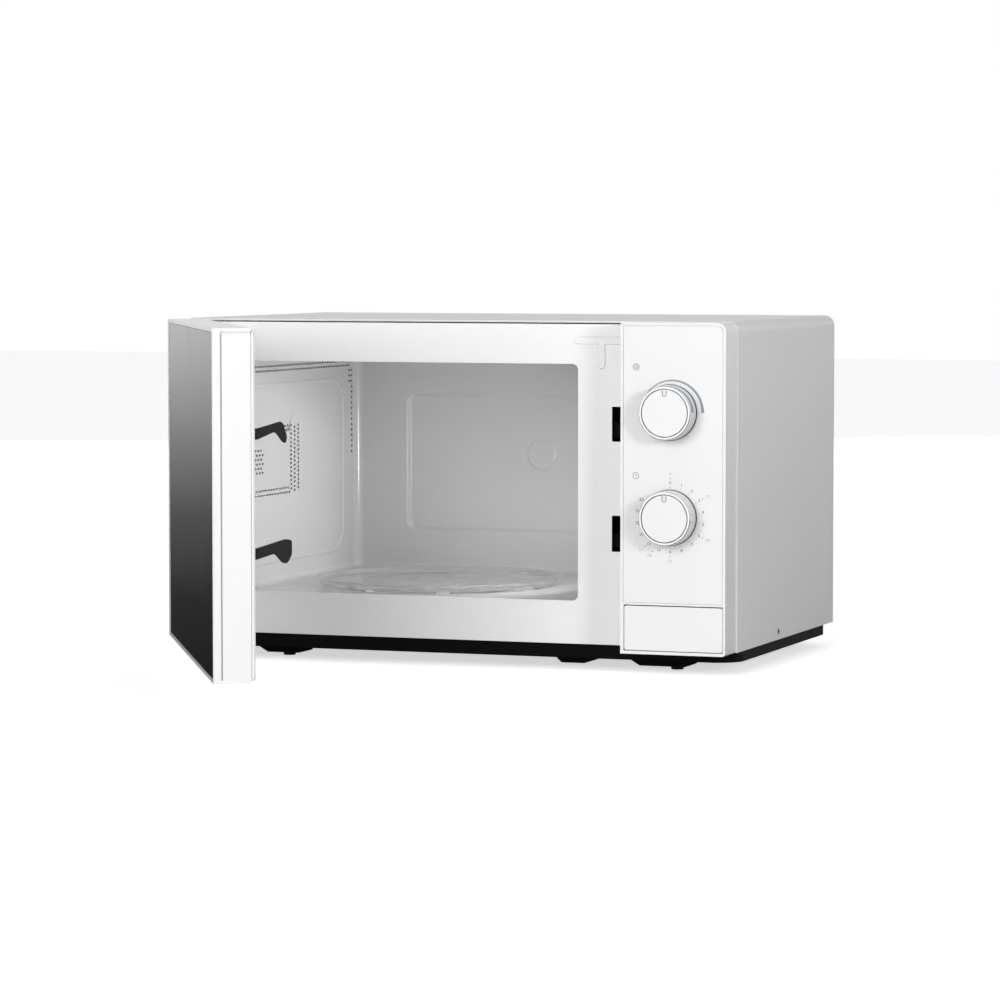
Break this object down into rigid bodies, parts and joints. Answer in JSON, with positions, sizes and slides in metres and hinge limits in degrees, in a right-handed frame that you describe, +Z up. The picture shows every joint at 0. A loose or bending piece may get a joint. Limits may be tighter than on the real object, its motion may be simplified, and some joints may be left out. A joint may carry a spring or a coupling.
{
  "type": "microwave oven",
  "caption": "Countertop microwave oven with a side-hinged glass door, two turning dials, a push-to-open door button and a glass turntable",
  "frame": {"origin": "centre of the bounding box in X and Y with the door in its rest pose, 60.5 degrees open, on the plane its feet stand on", "axes": "+X to the right seen from the front, +Y from the front to the back, +Z up"},
  "size_m": [0.449, 0.5872, 0.2582],
  "materials": {
    "white_paint": "gloss",
    "cavity_paint": "satin",
    "white_plastic": "gloss",
    "chrome": "polished",
    "black_paint": "satin",
    "rubber": "matt",
    "door_glass": "black printed",
    "clear_glass": "clear",
    "dark_plastic": "satin",
    "black_enamel": "matt",
    "bare_steel": "satin",
    "aluminium": "satin",
    "core_iron": "varnished",
    "copper_wire": "enamelled",
    "natural_plastic": "matt",
    "black_plastic": "matt",
    "board": "matt",
    "mica": "matt"
  },
  "bodies": {
    "cabinet": {"base_plate": "black_paint", "magnetron_core": "aluminium", "rear_panel": "bare_steel", "cavity_front_plate": "white_paint", "outer_cover": "white_paint", "control_panel": "white_plastic", "cavity_floor": "cavity_paint", "fan_shroud": "natural_plastic", "cord_bushing": "rubber", "turntable_motor": "bare_steel", "control_panel_face": "white_plastic", "foot_front_left": "rubber", "foot_front_right": "rubber", "foot_rear_left": "rubber", "foot_rear_right": "rubber", "oven_lamp": "clear_glass", "button_spring": "bare_steel", "noise_filter_board": "board", "waveguide_cover": "mica", "high_voltage_capacitor": "aluminium", "oven_cavity": "cavity_paint", "lower_hinge_bracket": "bare_steel", "upper_hinge_bracket": "bare_steel", "transformer_primary_coil": "copper_wire", "transformer_secondary_coil": "copper_wire", "interlock_bracket": "dark_plastic", "side_screw_right": "black_paint", "side_screw_left": "black_paint", "rear_screw_right": "bare_steel", "rear_screw_left": "bare_steel", "magnetron_yoke": "bare_steel", "waveguide": "bare_steel", "lamp_holder": "natural_plastic", "timer_unit": "natural_plastic", "power_selector": "natural_plastic", "high_voltage_diode": "black_plastic", "fan_motor": "bare_steel", "transformer_core": "core_iron", "primary_switch": "black_plastic", "secondary_switch": "black_plastic", "monitor_switch": "black_plastic"},
    "door": {"door_frame": "white_plastic", "door_glass": "door_glass", "door_inner_panel": "black_enamel", "door_choke_cover": "white_plastic", "latch_spring": "bare_steel"},
    "latch_hooks": {"latch_hook_bar": "dark_plastic"},
    "release_button": {"door_release_button": "white_plastic"},
    "release_lever": {"release_lever": "dark_plastic"},
    "power_dial": {"power_dial": "chrome", "power_dial_cap": "white_plastic"},
    "timer_dial": {"timer_dial": "chrome", "timer_dial_cap": "white_plastic"},
    "turntable": {"glass_turntable": "clear_glass", "turntable_coupler": "natural_plastic"},
    "roller_ring": {"roller_ring": "natural_plastic"},
    "roller_1": {"roller_1": "natural_plastic"},
    "roller_2": {"roller_2": "natural_plastic"},
    "roller_3": {"roller_3": "natural_plastic"},
    "cooling_fan": {"fan_blade": "natural_plastic"}
  },
  "joints": [
    {"name": "door_hinge", "type": "hinge", "parent": "cabinet", "child": "door", "pos_m": [-0.20455, 0.01643, 0.137], "axis": [0, 0, -1], "range_deg": [-60.5, 29.5]},
    {"name": "latch_lift", "type": "slide", "parent": "door", "child": "latch_hooks", "axis": [0, 0, 1], "range_m": [0, 0.0046], "stiffness_N_per_m": 120, "springref_m": -0.004, "deforming": ["latch_spring"]},
    {"name": "release_button_tilt", "type": "hinge", "parent": "cabinet", "child": "release_button", "pos_m": [0.18405, 0.00413, 0.021], "axis": [-1, 0, 0], "range_deg": [0, 6], "stiffness_Nm_per_rad": 0.15, "springref_deg": -4.58, "deforming": ["button_spring"]},
    {"name": "release_lever_tilt", "type": "hinge", "parent": "cabinet", "child": "release_lever", "pos_m": [0.13545, 0.03513, 0.084], "axis": [1, 0, 0], "range_deg": [0, 16.1]},
    {"name": "power_dial_turn", "type": "hinge", "parent": "cabinet", "child": "power_dial", "pos_m": [0.18166, -0.00137, 0.1926], "axis": [0, 1, 0], "range_deg": [-90, 90]},
    {"name": "timer_dial_turn", "type": "hinge", "parent": "cabinet", "child": "timer_dial", "pos_m": [0.18166, -0.00137, 0.1164], "axis": [0, 1, 0], "range_deg": [0, 300]},
    {"name": "turntable_spin", "type": "hinge", "parent": "cabinet", "child": "turntable", "pos_m": [-0.04854, 0.13563, 0.052], "axis": [0, 0, 1], "continuous": true},
    {"name": "roller_ring_spin", "type": "hinge", "parent": "cabinet", "child": "roller_ring", "pos_m": [-0.04854, 0.13563, 0.0461], "axis": [0, 0, 1], "continuous": true},
    {"name": "cooling_fan_spin", "type": "hinge", "parent": "cabinet", "child": "cooling_fan", "pos_m": [0.16745, 0.26563, 0.163], "axis": [0, 1, 0], "continuous": true},
    {"name": "roller_1_spin", "type": "hinge", "parent": "roller_ring", "child": "roller_1", "pos_m": [0.02446, 0.13563, 0.0461], "axis": [1, 0, 0], "continuous": true},
    {"name": "roller_2_spin", "type": "hinge", "parent": "roller_ring", "child": "roller_2", "pos_m": [-0.08504, 0.19885, 0.0461], "axis": [-0.5, 0.866, 0], "continuous": true},
    {"name": "roller_3_spin", "type": "hinge", "parent": "roller_ring", "child": "roller_3", "pos_m": [-0.08504, 0.07241, 0.0461], "axis": [-0.5, -0.866, 0], "continuous": true}
  ],
  "couplings": [
    {"joint": "release_lever_tilt", "follows": "release_button_tilt", "ratio": 2.667},
    {"joint": "roller_ring_spin", "follows": "turntable_spin", "ratio": 0.5},
    {"joint": "roller_1_spin", "follows": "turntable_spin", "ratio": -6.8868},
    {"joint": "roller_2_spin", "follows": "turntable_spin", "ratio": -6.8868},
    {"joint": "roller_3_spin", "follows": "turntable_spin", "ratio": -6.8868}
  ]
}
